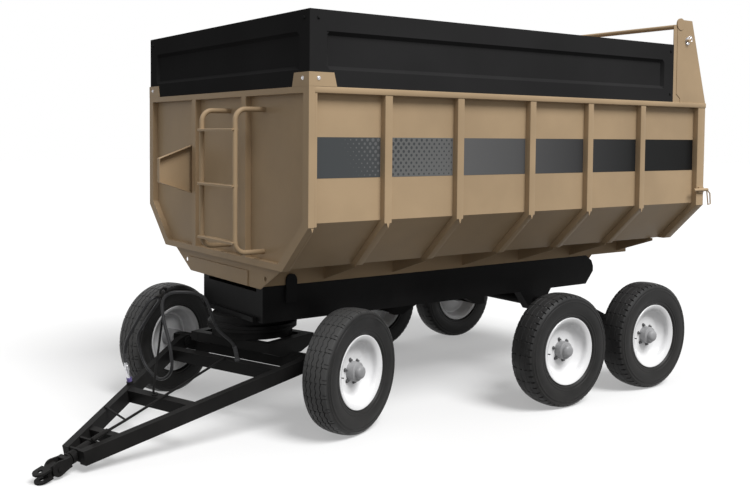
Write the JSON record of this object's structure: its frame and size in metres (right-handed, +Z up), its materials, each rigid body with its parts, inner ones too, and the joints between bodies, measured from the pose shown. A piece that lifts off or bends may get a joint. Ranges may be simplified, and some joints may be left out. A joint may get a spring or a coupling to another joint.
{
  "type": "farm tipping trailer",
  "caption": "Farm tipping trailer with a ribbed sloping-sided tub, extension boards, a steered front axle on an A-frame drawbar and a tandem rear bogie.",
  "frame": {"origin": "on the ground under the middle of the trailer's box", "axes": "+X forward along the chassis, +Y to the trailer's left, +Z up"},
  "size_m": [5.0888, 2.345, 2.755],
  "materials": {
    "tan_paint": "semi-gloss",
    "black_paint": "semi-gloss",
    "tyre_rubber": "matt",
    "white_rim": "gloss",
    "hose_rubber": "satin",
    "zinc_plate": "satin",
    "ground_steel": "polished"
  },
  "bodies": {
    "chassis": {"chassis_frame": "black_paint", "turntable_upper": "black_paint", "tandem_hanger": "black_paint", "walking_beam_left": "black_paint", "walking_beam_right": "black_paint"},
    "tub": {"tub_shell": "tan_paint", "side_frame_left": "tan_paint", "side_frame_right": "tan_paint", "front_frame": "tan_paint", "board_left": "black_paint", "board_right": "black_paint", "board_front": "black_paint", "rear_arch": "tan_paint", "front_ladder": "tan_paint", "holder_bracket": "tan_paint", "tub_subframe": "tan_paint", "latch_left": "tan_paint", "latch_right": "tan_paint"},
    "tailgate": {"tailgate": "tan_paint"},
    "front_bogie": {"front_axle_frame": "black_paint", "turntable_lower": "black_paint"},
    "drawbar": {"drawbar_frame": "black_paint", "lock_rod": "black_paint", "hose_stand": "black_paint", "hose_gland": "zinc_plate", "hose_coupler": "zinc_plate", "hydraulic_hose": "hose_rubber"},
    "tow_fork": {"tow_fork": "black_paint"},
    "tow_clevis": {"tow_clevis": "black_paint"},
    "cylinder_barrel": {"cylinder_barrel": "black_paint"},
    "cylinder_stage_1": {"cylinder_stage_1": "ground_steel"},
    "cylinder_stage_2": {"cylinder_stage_2": "ground_steel"},
    "cylinder_rod": {"cylinder_rod": "ground_steel"},
    "front_wheel_left": {"tyre_front_left": "tyre_rubber", "wheel_front_left": "white_rim"},
    "rear_wheel_left_1": {"tyre_rear_left_1": "tyre_rubber", "wheel_rear_left_1": "white_rim"},
    "rear_wheel_left_2": {"tyre_rear_left_2": "tyre_rubber", "wheel_rear_left_2": "white_rim"},
    "front_wheel_right": {"tyre_front_right": "tyre_rubber", "wheel_front_right": "white_rim"},
    "rear_wheel_right_1": {"tyre_rear_right_1": "tyre_rubber", "wheel_rear_right_1": "white_rim"},
    "rear_wheel_right_2": {"tyre_rear_right_2": "tyre_rubber", "wheel_rear_right_2": "white_rim"}
  },
  "joints": [
    {"name": "tub_tip", "type": "hinge", "parent": "chassis", "child": "tub", "pos_m": [-1.947, 0, 0.775], "axis": [0, -1, 0], "range_deg": [0, 45]},
    {"name": "tailgate_swing", "type": "hinge", "parent": "tub", "child": "tailgate", "pos_m": [-2.242, 0, 2.59], "axis": [0, 1, 0], "range_deg": [0, 80]},
    {"name": "steer", "type": "hinge", "parent": "chassis", "child": "front_bogie", "pos_m": [0.908, 0, 0.6], "axis": [0, 0, 1], "range_deg": [-54, 15]},
    {"name": "drawbar_lift", "type": "hinge", "parent": "front_bogie", "child": "drawbar", "pos_m": [1.01169, 0.03672, 0.415], "axis": [0.3338, -0.9426, 0], "range_deg": [-6, 18]},
    {"name": "fork_swivel", "type": "hinge", "parent": "drawbar", "child": "tow_fork", "pos_m": [2.32277, 0.50099, 0.08269], "axis": [0.9168, 0.3247, -0.2324], "continuous": true},
    {"name": "clevis_pitch", "type": "hinge", "parent": "tow_fork", "child": "tow_clevis", "pos_m": [2.41445, 0.53346, 0.05945], "axis": [-0.3338, 0.9426, 0], "range_deg": [0, 50]},
    {"name": "front_wheel_left_turn", "type": "hinge", "parent": "front_bogie", "child": "front_wheel_left", "pos_m": [0.63762, 0.76354, 0.39], "axis": [-0.3338, 0.9426, 0], "continuous": true},
    {"name": "rear_wheel_left_1_turn", "type": "hinge", "parent": "chassis", "child": "rear_wheel_left_1", "pos_m": [-0.917, 1.07, 0.39], "axis": [0, 1, 0], "continuous": true},
    {"name": "rear_wheel_left_2_turn", "type": "hinge", "parent": "chassis", "child": "rear_wheel_left_2", "pos_m": [-1.827, 1.07, 0.39], "axis": [0, 1, 0], "continuous": true},
    {"name": "front_wheel_right_turn", "type": "hinge", "parent": "front_bogie", "child": "front_wheel_right", "pos_m": [1.17839, -0.76354, 0.39], "axis": [-0.3338, 0.9426, 0], "continuous": true},
    {"name": "rear_wheel_right_1_turn", "type": "hinge", "parent": "chassis", "child": "rear_wheel_right_1", "pos_m": [-0.917, -1.07, 0.39], "axis": [0, 1, 0], "continuous": true},
    {"name": "rear_wheel_right_2_turn", "type": "hinge", "parent": "chassis", "child": "rear_wheel_right_2", "pos_m": [-1.827, -1.07, 0.39], "axis": [0, 1, 0], "continuous": true},
    {"name": "cylinder_swing", "type": "hinge", "parent": "chassis", "child": "cylinder_barrel", "pos_m": [0.123, 0, 0.595], "axis": [0, -1, 0], "range_deg": [0, 22.5]},
    {"name": "cylinder_slide_1", "type": "slide", "parent": "cylinder_barrel", "child": "cylinder_stage_1", "axis": [0, 0, 1], "range_m": [0, 0.519]},
    {"name": "cylinder_slide_2", "type": "slide", "parent": "cylinder_stage_1", "child": "cylinder_stage_2", "axis": [0, 0, 1], "range_m": [0, 0.519]},
    {"name": "cylinder_slide_3", "type": "slide", "parent": "cylinder_stage_2", "child": "cylinder_rod", "axis": [0, 0, 1], "range_m": [0, 0.519]}
  ],
  "couplings": [
    {"joint": "cylinder_swing", "follows": "tub_tip", "ratio": 0.5},
    {"joint": "cylinder_slide_1", "follows": "tub_tip", "m_per_rad": 0.66079},
    {"joint": "cylinder_slide_2", "follows": "tub_tip", "m_per_rad": 0.66079},
    {"joint": "cylinder_slide_3", "follows": "tub_tip", "m_per_rad": 0.66079}
  ]
}
